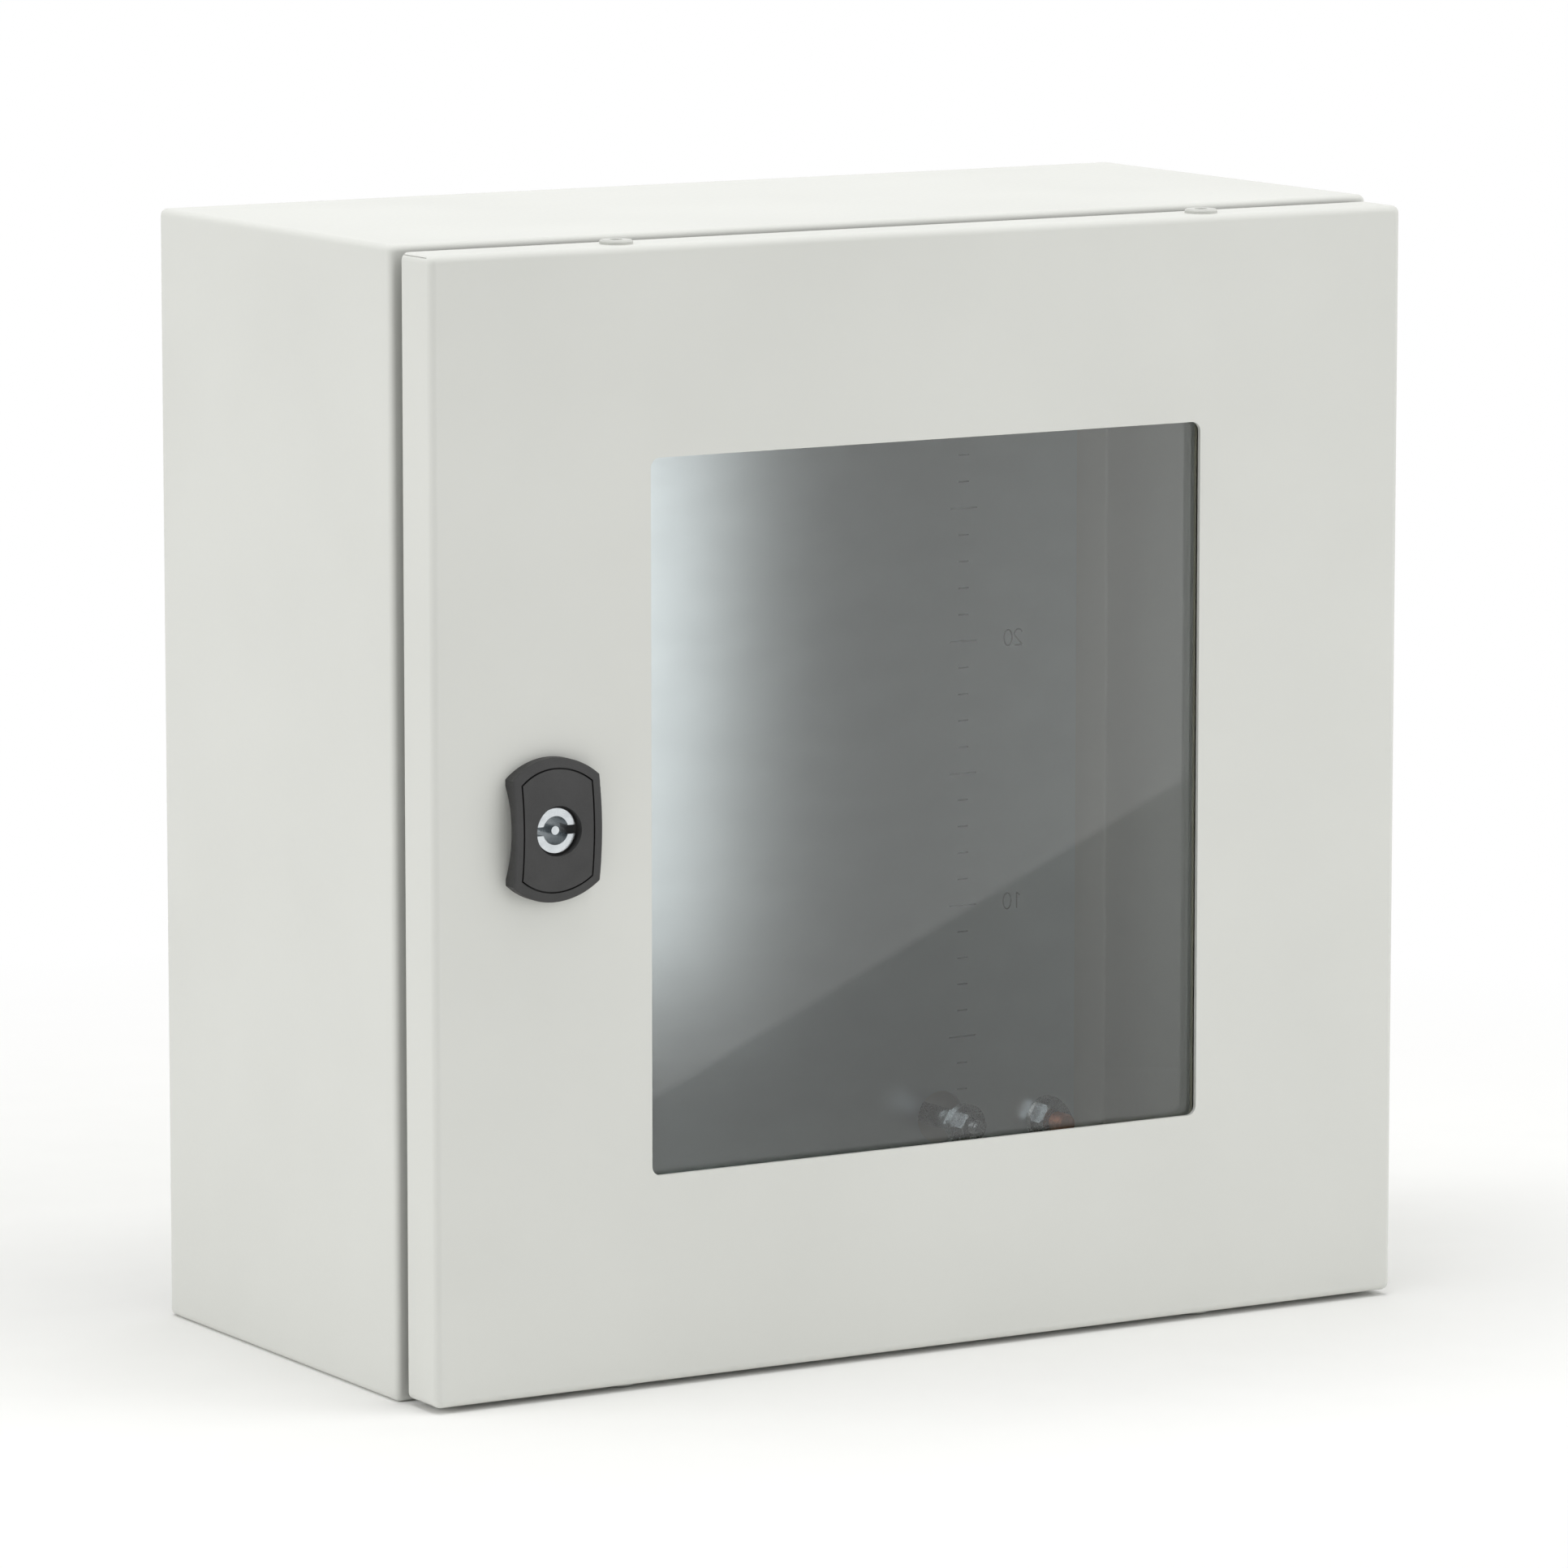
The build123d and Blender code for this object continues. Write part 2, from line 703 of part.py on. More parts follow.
def all_hinge_stud_places():
    return hinge_stud_places(hinge_offset) + hinge_stud_places(-hinge_offset)


def hinge_door_studs():
    end = door_inside - hinge_stud_length
    places = all_hinge_stud_places()
    return Compound(children=[bar(hinge_stud_radius, end, door_inside, x, z) for x, z in places])


def hinge_door_nuts():
    one = nut(hinge_nut_flats, hinge_nut_height, hinge_stud_radius + thread_fit)
    seat = door_inside - hinge_leaf_sheet
    return Compound(children=[inward(x, z, seat) * one for x, z in all_hinge_stud_places()])


# Headed pin that stays in the door's eyes and turns in the fixed eye
def hinge_pin(height):
    on_end = (Align.CENTER, Align.CENTER, Align.MIN)
    stem = Cylinder(hinge_pin_radius, hinge_leaf_length, align=on_end)
    stem = chamfer(stem.faces().sort_by(Axis.Z)[0].edges(), hinge_pin_chamfer)
    head = Cylinder(hinge_pin_head_radius, hinge_pin_head_height, align=on_end)
    head = chamfer(head.faces().sort_by(Axis.Z)[-1].edges(), hinge_pin_head_chamfer)
    pin = stem + Pos(0, 0, hinge_leaf_length) * head
    return Pos(pin_x, -pin_depth, height - hinge_leaf_length / 2) * pin


# Outline of the escutcheon: a disc cut off straight at both sides
def escutcheon_outline():
    sides = Rectangle(2 * escutcheon_half_width, 4 * escutcheon_radius)
    return Pos(lock_x, lock_z) * (Circle(escutcheon_radius) & sides)


# Finger scallop in a flank: a long cylinder, tilted so that it fades out below the front edge
def flank_scallop(side):
    reach = escutcheon_scallop_length / 2
    radius = (reach**2 + escutcheon_waist**2) / (2 * escutcheon_waist)
    tilt = degrees(atan2(escutcheon_waist, escutcheon_scallop_height))
    base_x = lock_x + side * (escutcheon_half_width - escutcheon_waist + radius / cos(radians(tilt)))
    tool = Rot(90, 0, 0) * Cylinder(radius, 4 * radius)
    return Pos(base_x, -door_front, lock_z) * Rot(0, 0, side * tilt) * tool


# The arched front of the lock, a long cylinder lying along X behind its crown
def arch():
    corner = sqrt(escutcheon_radius**2 - escutcheon_half_width**2)
    radius = (corner**2 + escutcheon_arch_drop**2) / (2 * escutcheon_arch_drop)
    place = Pos(lock_x, radius - lock_crown, lock_z)
    return place * Rot(0, 90, 0) * Cylinder(radius, 4 * escutcheon_radius)


# Outline of the flush panel in the escutcheon, or of its pocket with the groove round it
def panel_outline(extra):
    sides = Rectangle(2 * (panel_half_width + extra), 4 * panel_radius)
    return Pos(lock_x, lock_z) * (Circle(panel_radius + extra) & sides)


# Moulded escutcheon with waisted flanks, arched front, panel pocket and flatted barrel
def lock_housing():
    shield = prism(escutcheon_outline(), door_front, lock_crown + overcut) & arch()
    front = shield.faces().filter_by(GeomType.CYLINDER).sort_by(Axis.Y)[0]
    shield = fillet(front.edges(), escutcheon_edge_round)
    shield -= [flank_scallop(-1), flank_scallop(1)]
    shield -= prism(panel_outline(panel_groove), door_front + panel_floor, lock_crown + overcut)
    seal_outer = lock_seal_inner_radius + lock_seal_width + lock_seal_fit
    seal_ring = Circle(seal_outer) - Circle(lock_seal_inner_radius - lock_seal_fit)
    shield -= prism(Pos(lock_x, lock_z) * seal_ring, door_front, door_front + lock_seal_thickness)
    housing = shield + prism(lock_hole(0), barrel_end, door_front + lock_seal_thickness)
    bore_radius = insert_radius + insert_running_fit
    return housing - bar(bore_radius, barrel_end - overcut, lock_crown, lock_x, lock_z)


def lock_faceplate():
    plate = prism(panel_outline(0), door_front + panel_floor, lock_crown + overcut) & arch()
    return plate - bar(panel_hole_radius, door_front, lock_crown + overcut, lock_x, lock_z)


def lock_seal():
    ring = Circle(lock_seal_inner_radius + lock_seal_width) - Circle(lock_seal_inner_radius)
    return prism(Pos(lock_x, lock_z) * ring, door_front, door_front + lock_seal_thickness)


def lock_nut():
    one = nut(lock_nut_flats, lock_nut_height, barrel_radius + lock_nut_fit)
    return inward(lock_x, lock_z, door_inside) * one


# Turned insert: slotted ring with a centre pin in front, collar, neck and square behind
def lock_insert():
    collar_front = barrel_end - insert_collar_gap
    collar_back = collar_front - insert_collar_thickness
    bore_floor = insert_front - insert_bore_depth
    square_back = cam_back + cam_square_short
    insert = bar(insert_radius, collar_front, insert_front, lock_x, lock_z)
    insert -= bar(insert_bore_radius, bore_floor, insert_front + overcut, lock_x, lock_z)
    wings = Pos(lock_x, lock_z) * Rectangle(4 * insert_radius, insert_slot_width)
    insert -= prism(wings, insert_front - insert_slot_depth, insert_front + overcut)
    insert += bar(insert_pin_radius, bore_floor - overcut, insert_front - insert_pin_recess, lock_x, lock_z)
    insert += bar(insert_collar_radius, collar_back, collar_front, lock_x, lock_z)
    insert += bar(insert_neck_radius, cam_front, collar_back, lock_x, lock_z)
    square = Pos(lock_x, lock_z) * Rectangle(insert_square, insert_square)
    insert += prism(square, square_back, cam_front)
    screw_end = cam_back + cam_screw_length
    return insert - bar(cam_screw_radius + cam_screw_fit, square_back - overcut, screw_end, lock_x, lock_z)


# Flat cam that hangs straight down when the door is free, tapered to its rounded tip
def lock_cam():
    circles = Circle(cam_hub_radius) + Pos(0, -cam_reach) * Circle(cam_tip_radius)
    side = insert_square + 2 * cam_square_fit
    blade = make_hull(circles.edges()) - Rectangle(side, side)
    return prism(Pos(lock_x, lock_z) * blade, cam_back, cam_front)


def cam_washer():
    ring = Circle(cam_washer_radius) - Circle(cam_screw_radius + cam_screw_fit)
    return prism(Pos(lock_x, lock_z) * ring, cam_back - cam_washer_thickness, cam_back)


def cam_screw():
    seat = cam_back - cam_washer_thickness
    head = inward(lock_x, lock_z, seat) * nut(cam_screw_flats, cam_screw_head, cam_screw_radius)
    shank_end = cam_back + cam_screw_length - cam_screw_tip_gap
    return head + bar(cam_screw_radius, seat - cam_screw_head, shank_end, lock_x, lock_z)


nodes = {
    "body_shell": body_shell(),
    "gland_plate": gland_plate(),
    "gland_plate_gasket": gland_plate_gasket(),
    "gland_plate_studs": gland_plate_studs(),
    "gland_plate_nuts": gland_plate_nuts(),
    "mounting_plate": mounting_plate(),
    "plate_studs": plate_studs(),
    "plate_nuts": plate_nuts(),
    "earth_stud": earth_stud(),
    "earth_washers": earth_washers(),
    "earth_nuts": earth_nuts(),
    "hinge_body_leaf_upper": hinge_body_leaf(hinge_offset),
    "hinge_body_leaf_lower": hinge_body_leaf(-hinge_offset),
    "door_panel": door_panel(),
    "door_plugs": door_plugs(),
    "window_pane": window_pane(),
    "glazing_seal": glazing_seal(),
    "glazing_frame": glazing_frame(),
    "glazing_studs": glazing_studs(),
    "glazing_nuts": glazing_nuts(),
    "door_gasket": door_gasket(),
    "door_earth_stud": door_earth_stud(),
    "door_earth_washer": door_earth_washer(),
    "door_earth_nut": door_earth_nut(),
    "hinge_door_leaf_upper": hinge_door_leaf(hinge_offset),
    "hinge_door_leaf_lower": hinge_door_leaf(-hinge_offset),
    "hinge_door_studs": hinge_door_studs(),
    "hinge_door_nuts": hinge_door_nuts(),
    "hinge_pin_upper": hinge_pin(hinge_offset),
    "hinge_pin_lower": hinge_pin(-hinge_offset),
    "lock_housing": lock_housing(),
    "lock_faceplate": lock_faceplate(),
    "lock_seal": lock_seal(),
    "lock_nut": lock_nut(),
    "lock_insert": lock_insert(),
    "lock_cam": lock_cam(),
    "cam_washer": cam_washer(),
    "cam_screw": cam_screw(),
}

for name, shape in nodes.items():
    export_step(shape, f"parts/{name}.step")
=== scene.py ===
import math

import bpy
import numpy as np
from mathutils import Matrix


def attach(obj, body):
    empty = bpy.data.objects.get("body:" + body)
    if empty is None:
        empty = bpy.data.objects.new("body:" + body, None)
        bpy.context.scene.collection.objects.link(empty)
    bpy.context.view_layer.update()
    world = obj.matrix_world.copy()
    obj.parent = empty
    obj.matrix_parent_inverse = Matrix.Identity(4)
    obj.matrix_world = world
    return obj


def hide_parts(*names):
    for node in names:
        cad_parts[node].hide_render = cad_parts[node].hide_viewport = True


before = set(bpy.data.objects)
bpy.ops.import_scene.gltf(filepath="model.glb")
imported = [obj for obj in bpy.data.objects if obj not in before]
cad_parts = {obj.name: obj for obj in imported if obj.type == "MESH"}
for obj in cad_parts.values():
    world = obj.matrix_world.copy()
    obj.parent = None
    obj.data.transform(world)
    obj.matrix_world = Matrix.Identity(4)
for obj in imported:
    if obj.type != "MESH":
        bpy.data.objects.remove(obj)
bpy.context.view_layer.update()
mm = 0.001
print("frame loaded,", len(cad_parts), "nodes")


# sRGB hex to linear colour: below 0.04045 a straight part, above it a power of 2.4
def linear(hexColour):
    parts = np.array([int(hexColour[i:i + 2], 16) for i in (1, 3, 5)]) / 255
    low = parts / 12.92
    high = ((parts + 0.055) / 1.055) ** 2.4
    return (*np.where(parts <= 0.04045, low, high).tolist(), 1.0)


# adds one node; a setting is an input if the node has one of that name or number, else a property
def addNode(tree, kind, settings=None, links=None):
    node = tree.nodes.new("ShaderNode" + kind)
    for name, value in (settings or {}).items():
        if isinstance(name, int) or name in node.inputs:
            node.inputs[name].default_value = value
        else:
            setattr(node, name, value)
    for name, source in (links or {}).items():
        tree.links.new(source, node.inputs[name])
    return node


# a new material with a Principled shader whose constant values are set on its own sockets
def startMaterial(name, constants):
    material = bpy.data.materials.new(name)
    material.use_nodes = True
    tree = material.node_tree
    tree.nodes.clear()
    shader = addNode(tree, "BsdfPrincipled", constants)
    addNode(tree, "OutputMaterial", links={"Surface": shader.outputs[0]})
    place = addNode(tree, "TexCoord").outputs["Object"]
    return material, tree, shader, place


# pattern noise: stretch along the axes, levels of detail, and the middle part of the noise's range
# that is spread over a finish's whole range
evenStretch = (1, 1, 1)
broadDetail = 2.0
fineDetail = 3.0
noiseSpan = {1: 0.3, 2: 0.7}


# noise with waves of a real size in millimetres, stretched along the axes
def waves(tree, place, sizeMm, stretch=evenStretch, detail=broadDetail):
    scaled = addNode(tree, "Mapping", {"Scale": stretch}, {"Vector": place})
    settings = {"Scale": 1 / (sizeMm * mm), "Detail": detail}
    return addNode(tree, "TexNoise", settings, {"Vector": scaled.outputs[0]}).outputs["Fac"]


# a colour between two constant ones, by a share from 0 to 1
def blend(tree, share, first, second):
    settings = {"data_type": "RGBA", 6: first, 7: second}
    return addNode(tree, "Mix", settings, {0: share}).outputs[2]


# a finish: broad waves shade between two colours, fine waves vary the gloss and raise the surface;
# grain, scuffs and rolling lines finer than about half a millimetre are drawn that coarse to show
def surfaceFinish(name, look, constants):
    material, tree, shader, place = startMaterial(name, constants)
    broad = waves(tree, place, look["broadMm"], look.get("broadStretch", evenStretch))
    fine = waves(tree, place, look["fineMm"], look.get("fineStretch", evenStretch), fineDetail)
    spread = addNode(tree, "MapRange", noiseSpan, {0: broad})
    tone = blend(tree, spread.outputs[0], linear(look["dark"]), linear(look["light"]))
    smoothest, roughest = look["rough"]
    gloss = addNode(tree, "MapRange", {**noiseSpan, 3: smoothest, 4: roughest}, {0: fine})
    lift = {"Strength": look["bump"], "Distance": look["reliefMm"] * mm}
    relief = addNode(tree, "Bump", lift, {"Height": fine})
    tree.links.new(tone, shader.inputs["Base Color"])
    tree.links.new(gloss.outputs[0], shader.inputs["Roughness"])
    tree.links.new(relief.outputs[0], shader.inputs["Normal"])
    return material


# polyester powder coat, baked on: an even light grey with fine orange peel and a satin gloss
powderCoat = surfaceFinish("powder_coat_polyester_baked", {
    "light": "#D9DAD5", "dark": "#D5D6D1", "broadMm": 90, "fineMm": 1.6,
    "rough": (0.42, 0.52), "bump": 0.18, "reliefMm": 0.05,
}, {"IOR": 1.5})

# hot-dip galvanised sheet, rolled: grey zinc with faint spangle and fine rolling lines across the plate
galvanised = surfaceFinish("galvanised_sheet_rolled", {
    "light": "#DEE5E8", "dark": "#D8DFE2", "broadMm": 14, "broadStretch": (0.5, 1, 1), "fineMm": 0.7,
    "fineStretch": (0.02, 1, 1), "rough": (0.29, 0.33), "bump": 0.03, "reliefMm": 0.01,
}, {"Metallic": 1.0})

# folded sheet steel, zinc phosphate primed: matt, pale olive grey, slightly cloudy
phosphated = surfaceFinish("zinc_phosphate_primed_sheet", {
    "light": "#C2C0AD", "dark": "#B6B4A1", "broadMm": 9, "fineMm": 0.8,
    "rough": (0.58, 0.7), "bump": 0.12, "reliefMm": 0.02,
}, {"IOR": 1.5})

# zinc plated steel, drawn and tumbled: bluish grey metal, slightly scuffed
zincPlated = surfaceFinish("zinc_plated_steel_tumbled", {
    "light": "#B2B6B9", "dark": "#9DA1A4", "broadMm": 5, "fineMm": 0.5,
    "rough": (0.22, 0.34), "bump": 0.15, "reliefMm": 0.02,
}, {"Metallic": 1.0})

# coppered steel stud, drawn wire with a flash of copper: warm red-brown metal, slightly cloudy
copperedSteel = surfaceFinish("coppered_steel_drawn", {
    "light": "#C98B6B", "dark": "#A5664A", "broadMm": 3, "fineMm": 0.4,
    "rough": (0.3, 0.45), "bump": 0.15, "reliefMm": 0.02,
}, {"Metallic": 1.0})

# foamed polyurethane strip: dull near-black skin with small closed cells
foamSeal = surfaceFinish("polyurethane_foam_cast", {
    "light": "#3A3B3A", "dark": "#2C2D2C", "broadMm": 4, "fineMm": 0.9,
    "rough": (0.8, 0.95), "bump": 0.45, "reliefMm": 0.15,
}, {"IOR": 1.45})

# EPDM strip, extruded: matt, pale olive rubber, slightly mottled
rubberSeal = surfaceFinish("epdm_rubber_extruded", {
    "light": "#CFCCB4", "dark": "#C2BFA7", "broadMm": 6, "fineMm": 0.6,
    "rough": (0.65, 0.8), "bump": 0.2, "reliefMm": 0.05,
}, {"IOR": 1.5})

# polyethylene plug, injection moulded: light grey, slightly waxy, with a soft sheen
greyPlug = surfaceFinish("polyethylene_moulded", {
    "light": "#C9CAC5", "dark": "#C1C2BD", "broadMm": 5, "fineMm": 0.5,
    "rough": (0.42, 0.55), "bump": 0.1, "reliefMm": 0.02,
}, {"IOR": 1.51})

# glass-filled polyamide, injection moulded and spark eroded: dark grey with a fine even grain
darkPolyamide = surfaceFinish("polyamide_glass_filled_moulded", {
    "light": "#363636", "dark": "#303030", "broadMm": 8, "fineMm": 0.45,
    "rough": (0.5, 0.64), "bump": 0.25, "reliefMm": 0.03,
}, {"IOR": 1.53})

# die-cast zinc, chrome plated: bright silver with faint casting flow under the plating
diecastZinc = surfaceFinish("zinc_diecast_chromed", {
    "light": "#D6DBDD", "dark": "#C8CDD0", "broadMm": 3, "fineMm": 0.5,
    "rough": (0.16, 0.28), "bump": 0.08, "reliefMm": 0.01,
}, {"Metallic": 1.0})

# key bore of the insert in millimetres: the shift that centres its axis, the radii where its wall starts
# and ends, the place of its mouth, and the tone of the shade painted on that wall
boreShade = {"shift": (153.0, 0, 0), "wallFrom": 1.9, "wallTo": 5.1, "mouth": -201.2, "tone": "#B9BDBF"}


# painted shade in the bore: the tone darkens where a point lies between two radii of the lock's axis
# and deeper than the mouth, so that the ring and the pin's end stay bright
def darkenBore(material, bore):
    tree = material.node_tree
    shader = tree.nodes["Principled BSDF"]
    bright = shader.inputs["Base Color"].links[0].from_socket
    place = tree.nodes["Texture Coordinate"].outputs["Object"]
    shift = [value * mm for value in bore["shift"]]
    centred = addNode(tree, "VectorMath", {"operation": "ADD", 1: shift}, {0: place})
    flat = addNode(tree, "VectorMath", {"operation": "MULTIPLY", 1: (1, 0, 1)}, {0: centred.outputs[0]})
    radius = addNode(tree, "VectorMath", {"operation": "LENGTH"}, {0: flat.outputs[0]}).outputs["Value"]
    depth = addNode(tree, "SeparateXYZ", links={0: place}).outputs["Y"]
    outside = addNode(tree, "Math", {"operation": "GREATER_THAN", 1: bore["wallFrom"] * mm}, {0: radius})
    inside = addNode(tree, "Math", {"operation": "LESS_THAN", 1: bore["wallTo"] * mm}, {0: radius})
    deep = addNode(tree, "Math", {"operation": "GREATER_THAN", 1: bore["mouth"] * mm}, {0: depth})
    ring = addNode(tree, "Math", {"operation": "MULTIPLY"}, {0: outside.outputs[0], 1: inside.outputs[0]})
    shadedWall = addNode(tree, "Math", {"operation": "MULTIPLY"}, {0: ring.outputs[0], 1: deep.outputs[0]})
    # the painted shade's tone, mixed in over the bore wall in place of the plated tone
    shadeMix = {"data_type": "RGBA", 7: linear(bore["tone"])}
    tone = addNode(tree, "Mix", shadeMix, {0: shadedWall.outputs[0], 6: bright})
    tree.links.new(tone.outputs[2], shader.inputs["Base Color"])


darkenBore(diecastZinc, boreShade)

# scale print, screened ink on the zinc: mid grey, matt, slightly uneven
scaleInk = surfaceFinish("screen_ink_printed", {
    "light": "#686D6D", "dark": "#5C6161", "broadMm": 1.5, "fineMm": 0.3,
    "rough": (0.6, 0.75), "bump": 0.1, "reliefMm": 0.01,
}, {"IOR": 1.5})

# pane: two near-white tones, the wave between them and the roughness it brings
paneLook = {"dark": "#FBFDFC", "light": "#FEFFFE", "waveMm": 120, "rough": (0.0, 0.004)}


# toughened float glass: clear, with the faintest green and very long fire-polished waves
def floatGlass(look):
    constants = {"Transmission Weight": 1.0, "IOR": 1.52}
    material, tree, shader, place = startMaterial("float_glass_toughened", constants)
    long = waves(tree, place, look["waveMm"])
    tone = blend(tree, long, linear(look["dark"]), linear(look["light"]))
    smoothest, roughest = look["rough"]
    gloss = addNode(tree, "MapRange", {3: smoothest, 4: roughest}, {0: long})
    tree.links.new(tone, shader.inputs["Base Color"])
    tree.links.new(gloss.outputs[0], shader.inputs["Roughness"])
    return material


clearPane = floatGlass(paneLook)
print("finishes made:", len(bpy.data.materials))

# which CAD nodes keep their shape and take which finish
nodeFinish = {
    powderCoat: ["body_shell", "gland_plate", "door_panel"],
    galvanised: ["mounting_plate"],
    phosphated: ["glazing_frame"],
    zincPlated: ["gland_plate_nuts", "plate_nuts", "earth_washers", "earth_nuts", "glazing_nuts",
                 "hinge_body_leaf_upper", "hinge_body_leaf_lower", "hinge_door_leaf_upper",
                 "hinge_door_leaf_lower", "hinge_pin_upper", "hinge_pin_lower", "hinge_door_nuts",
                 "door_earth_washer", "door_earth_nut", "lock_cam", "cam_washer", "cam_screw",
                 "lock_nut"],
    clearPane: ["window_pane"],
    foamSeal: ["door_gasket", "gland_plate_gasket"],
    rubberSeal: ["glazing_seal", "lock_seal"],
    greyPlug: ["door_plugs"],
    darkPolyamide: ["lock_housing", "lock_faceplate"],
    diecastZinc: ["lock_insert"],
}


# gives every material slot of a node's object the finish
def dressNode(name, material):
    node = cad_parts[name]
    if not node.material_slots:
        node.data.materials.append(material)
    for slot in node.material_slots:
        slot.material = material


for material, names in nodeFinish.items():
    for name in names:
        dressNode(name, material)
print("CAD nodes dressed:", sum(len(names) for names in nodeFinish.values()))


# a mesh object from whole arrays of points and faces, with one material
def meshObject(name, points, faces, material, smooth):
    mesh = bpy.data.meshes.new(name)
    mesh.from_pydata(points.tolist(), [], faces)
    mesh.polygons.foreach_set("use_smooth", np.full(len(mesh.polygons), smooth))
    mesh.materials.append(material)
    mesh.update()
    made = bpy.data.objects.new(name, mesh)
    bpy.context.scene.collection.objects.link(made)
    return made


# a piece of the part, riding on a body; the CAD nodes it replaces are hidden
def addPiece(name, points, faces, material, body, slotName, replaced=(), smooth=True):
    piece = meshObject(name, points, faces, material, smooth)
    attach(piece, body)
    if replaced:
        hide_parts(*replaced)


# several (points, faces) pairs as one, each face list moved up by the points before it
def joined(parts):
    starts = np.cumsum([0] + [len(points) for points, _ in parts[:-1]])
    points = np.concatenate([points for points, _ in parts])
    faces = [[i + int(start) for i in face] for (_, part), start in zip(parts, starts) for face in part]
    return points, faces


# closed lathe: radius over angle and length, with a centre point at each end;
# the axis runs along a direction, with X as the first cross direction
def lathe(radius, length, origin, direction, sides):
    axis = np.array(direction, float)
    first = np.array([1.0, 0.0, 0.0])
    second = np.cross(axis, first)
    rows = len(length)
    turn = np.arange(sides) * 2 * np.pi / sides
    ring = np.cos(turn)[:, None] * first + np.sin(turn)[:, None] * second
    points = radius[:, :, None] * ring[None] + length[:, None, None] * axis
    ends = np.array([axis * length[0], axis * length[-1]])
    points = np.concatenate([points.reshape(-1, 3), ends]) + np.array(origin)
    row, col = np.meshgrid(np.arange(rows - 1), np.arange(sides), indexing="ij")
    here = row * sides + col
    side = row * sides + (col + 1) % sides
    quads = np.stack([here, side, side + sides, here + sides], -1).reshape(-1, 4)
    j = np.arange(sides)
    low = np.stack([np.full(sides, rows * sides), (j + 1) % sides, j], -1)
    top = (rows - 1) * sides
    high = np.stack([np.full(sides, rows * sides + 1), top + j, top + (j + 1) % sides], -1)
    return points, quads.tolist() + low.tolist() + high.tolist()


# fall of the radius for each millimetre of a stud's tip, and the collar's chamfer and number of sides
tipSlope = 0.8
collarChamfer = 0.4
collarSides = 32


# threaded stud: the radius falls from the crest by a triangle wave of length and angle, which winds
# up as a helix; a cone at the tip and a plain root take the thread out at both ends
def threadedStud(thread, longMm, origin, direction):
    sides = thread["sides"]
    steps = int(longMm / thread["pitch"] * thread["rowsPerTurn"]) + 1
    length = np.linspace(0, longMm, steps)
    turn = np.arange(sides) / sides
    phase = (length[:, None] / thread["pitch"] - turn[None]) % 1
    groove = np.abs(2 * phase - 1)
    tip = np.clip((longMm - length) / thread["tip"], 0, 1)[:, None]
    root = np.clip((length - thread["plain"]) / thread["pitch"], 0, 1)[:, None]
    radius = thread["radius"] - thread["depth"] * groove * root
    cone = thread["radius"] - thread["tip"] * (1 - tip) * tipSlope
    radius = np.minimum(radius, cone)
    radius[0] = thread["radius"]
    return lathe(radius * mm, length * mm, np.array(origin) * mm, direction, sides)


# collar below a plate: a short plain lathe with a small chamfer at its outer end
def collar(radius, length, origin, direction):
    stations = np.array([0, length - collarChamfer, length]) * mm
    radii = np.array([radius, radius, radius - collarChamfer])[:, None] * np.ones(collarSides) * mm
    return lathe(radii, stations, np.array(origin) * mm, direction, collarSides)


outwardDir = (0, -1, 0)
inwardDir = (0, 1, 0)
upDir = (0, 0, 1)
signs = [(sx, sz) for sx in (-1, 1) for sz in (-1, 1)]

# metric threads in millimetres: crest radius, depth and pitch, the cone at the tip and the plain root,
# and how many sides and rows for each turn the mesh has
m8Thread = {"radius": 4.0, "depth": 0.6, "pitch": 1.25, "tip": 0.9, "plain": 0.6,
            "sides": 28, "rowsPerTurn": 8}
m6Thread = {"radius": 3.0, "depth": 0.5, "pitch": 1.0, "tip": 0.75, "plain": 0.5,
            "sides": 24, "rowsPerTurn": 8}
m5Thread = {"radius": 2.5, "depth": 0.42, "pitch": 0.8, "tip": 0.6, "plain": 0.8,
            "sides": 20, "rowsPerTurn": 8}
m4Thread = {"radius": 2.0, "depth": 0.36, "pitch": 0.7, "tip": 0.5, "plain": 0.7,
            "sides": 20, "rowsPerTurn": 8}

# the insides of the back wall and of the door, in millimetres from the wall
wallInside = 1.2
doorInside = 195.5


# a stud on the back wall: a collar up to the seat, then the thread
def wallStud(plan, thread, x, z):
    foot = collar(plan["collar"], plan["seat"] - wallInside, (x, -wallInside, z), outwardDir)
    return [foot, threadedStud(thread, plan["length"], (x, -plan["seat"], z), outwardDir)]


# studs at several (x, z) places on the inside of the door, pointing to the wall
def doorStuds(plan, thread, places):
    studs = [threadedStud(thread, plan["length"], (x, -doorInside, z), inwardDir) for x, z in places]
    return joined(studs)


# four studs that carry the mounting plate, in millimetres: their seat is the plate's back
plateStuds = {"x": 162.5, "z": 160.0, "collar": 6.5, "seat": 15.0, "length": 17.0}
plateParts = []
for sx, sz in signs:
    plateParts += wallStud(plateStuds, m8Thread, sx * plateStuds["x"], sz * plateStuds["z"])
addPiece("plate_studs_threaded", *joined(plateParts), copperedSteel,
         "cabinet_body", "zinc_steel", ["plate_studs"])

# earth stud in a hole of the plate, in millimetres
earthStud = {"x": 115.5, "z": -155.0, "collar": 4.0, "seat": 28.0, "length": 16.4}
earthParts = wallStud(earthStud, m6Thread, earthStud["x"], earthStud["z"])
addPiece("earth_stud_threaded", *joined(earthParts), zincPlated,
         "cabinet_body", "coppered_steel", ["earth_stud"])

